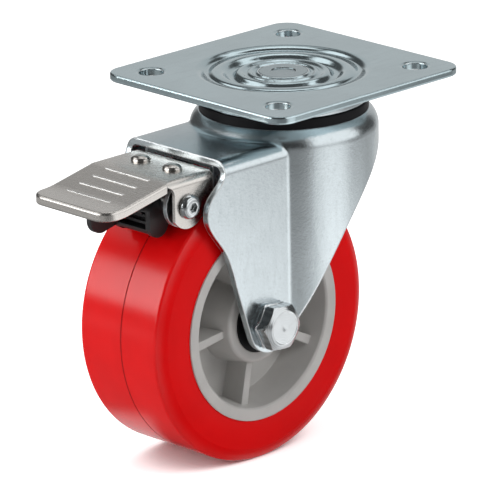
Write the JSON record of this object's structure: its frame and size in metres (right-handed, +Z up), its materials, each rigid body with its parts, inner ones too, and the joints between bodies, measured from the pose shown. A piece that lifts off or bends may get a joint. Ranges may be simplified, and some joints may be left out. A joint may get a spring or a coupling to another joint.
{
  "type": "swivel castor",
  "caption": "Plate-mounted swivel castor with a pressed yoke, a polyurethane wheel and a toe brake, for trolleys and machine bases.",
  "frame": {"origin": "swivel axis where it meets the top face of the plate", "axes": "+Z up out of the plate's top face along the swivel axis, +X to the side the wheel trails to and the pedal is on, +Y along the axle towards the bolt's head"},
  "size_m": [0.1864, 0.11, 0.163],
  "materials": {
    "zinc_plate": "bright zinc plating with a faint blue passivation, softly brushed",
    "zinc_yoke": "bright zinc plating on pressed sheet, smooth and softly reflecting",
    "zinc_dull": "dull zinc plating inside the head and under the shelf",
    "zinc_bolt": "bright zinc-plated fasteners",
    "bearing_steel": "polished bearing steel",
    "race_steel": "ground steel",
    "spring_steel": "blued spring strip",
    "stainless_pedal": "stainless sheet with a fine brushed grain",
    "black_seal": "matt black seal",
    "black_nylon": "black moulded nylon with a fine satin grain",
    "red_polyurethane": "glossy cast polyurethane",
    "grey_core": "warm grey moulded polypropylene, satin"
  },
  "bodies": {
    "plate": {"top_plate": "zinc_plate", "race_cup": "zinc_dull", "kingpin": "zinc_bolt", "lower_race": "zinc_dull", "kingpin_washer": "zinc_bolt", "kingpin_nut": "zinc_bolt"},
    "upper_ball_ring": {"upper_balls": "bearing_steel"},
    "lower_ball_ring": {"lower_balls": "bearing_steel"},
    "yoke": {"yoke": "zinc_yoke", "dust_seal": "black_seal", "brake_bracket": "zinc_dull", "detent_spring": "spring_steel", "spring_rivet": "zinc_bolt", "pivot_screw": "zinc_bolt", "pivot_nut": "zinc_bolt", "pivot_spacers": "zinc_dull", "axle_bolt": "zinc_bolt", "axle_lock_plate": "zinc_bolt", "axle_washer": "zinc_bolt", "axle_nut": "zinc_bolt", "axle_sleeve": "race_steel", "axle_spacers": "race_steel", "bearing_inner_rings": "race_steel"},
    "wheel": {"tyre": "red_polyurethane", "wheel_core": "grey_core", "bearing_outer_rings": "race_steel", "dust_caps": "black_seal"},
    "bearing_ball_ring": {"bearing_balls": "bearing_steel"},
    "pedal": {"pedal_plate": "stainless_pedal", "brake_shoe": "black_nylon", "shoe_rivets": "stainless_pedal"}
  },
  "joints": [
    {"name": "swivel", "type": "hinge", "parent": "plate", "child": "yoke", "pos_m": [0, 0, 0], "axis": [0, 0, 1], "continuous": true},
    {"name": "upper_ball_run", "type": "hinge", "parent": "plate", "child": "upper_ball_ring", "pos_m": [0, 0, 0], "axis": [0, 0, 1], "continuous": true},
    {"name": "lower_ball_run", "type": "hinge", "parent": "plate", "child": "lower_ball_ring", "pos_m": [0, 0, 0], "axis": [0, 0, 1], "continuous": true},
    {"name": "wheel_spin", "type": "hinge", "parent": "yoke", "child": "wheel", "pos_m": [0.0395, 0, -0.1005], "axis": [0, 1, 0], "continuous": true},
    {"name": "bearing_ball_run", "type": "hinge", "parent": "yoke", "child": "bearing_ball_ring", "pos_m": [0.0395, 0, -0.1005], "axis": [0, 1, 0], "continuous": true},
    {"name": "pedal_press", "type": "hinge", "parent": "yoke", "child": "pedal", "pos_m": [0.0818, 0, -0.0389], "axis": [0, 1, 0], "range_deg": [0, 11]}
  ],
  "couplings": [
    {"joint": "upper_ball_run", "follows": "swivel", "ratio": 0.5},
    {"joint": "lower_ball_run", "follows": "swivel", "ratio": 0.5},
    {"joint": "bearing_ball_run", "follows": "wheel_spin", "ratio": 0.62}
  ]
}
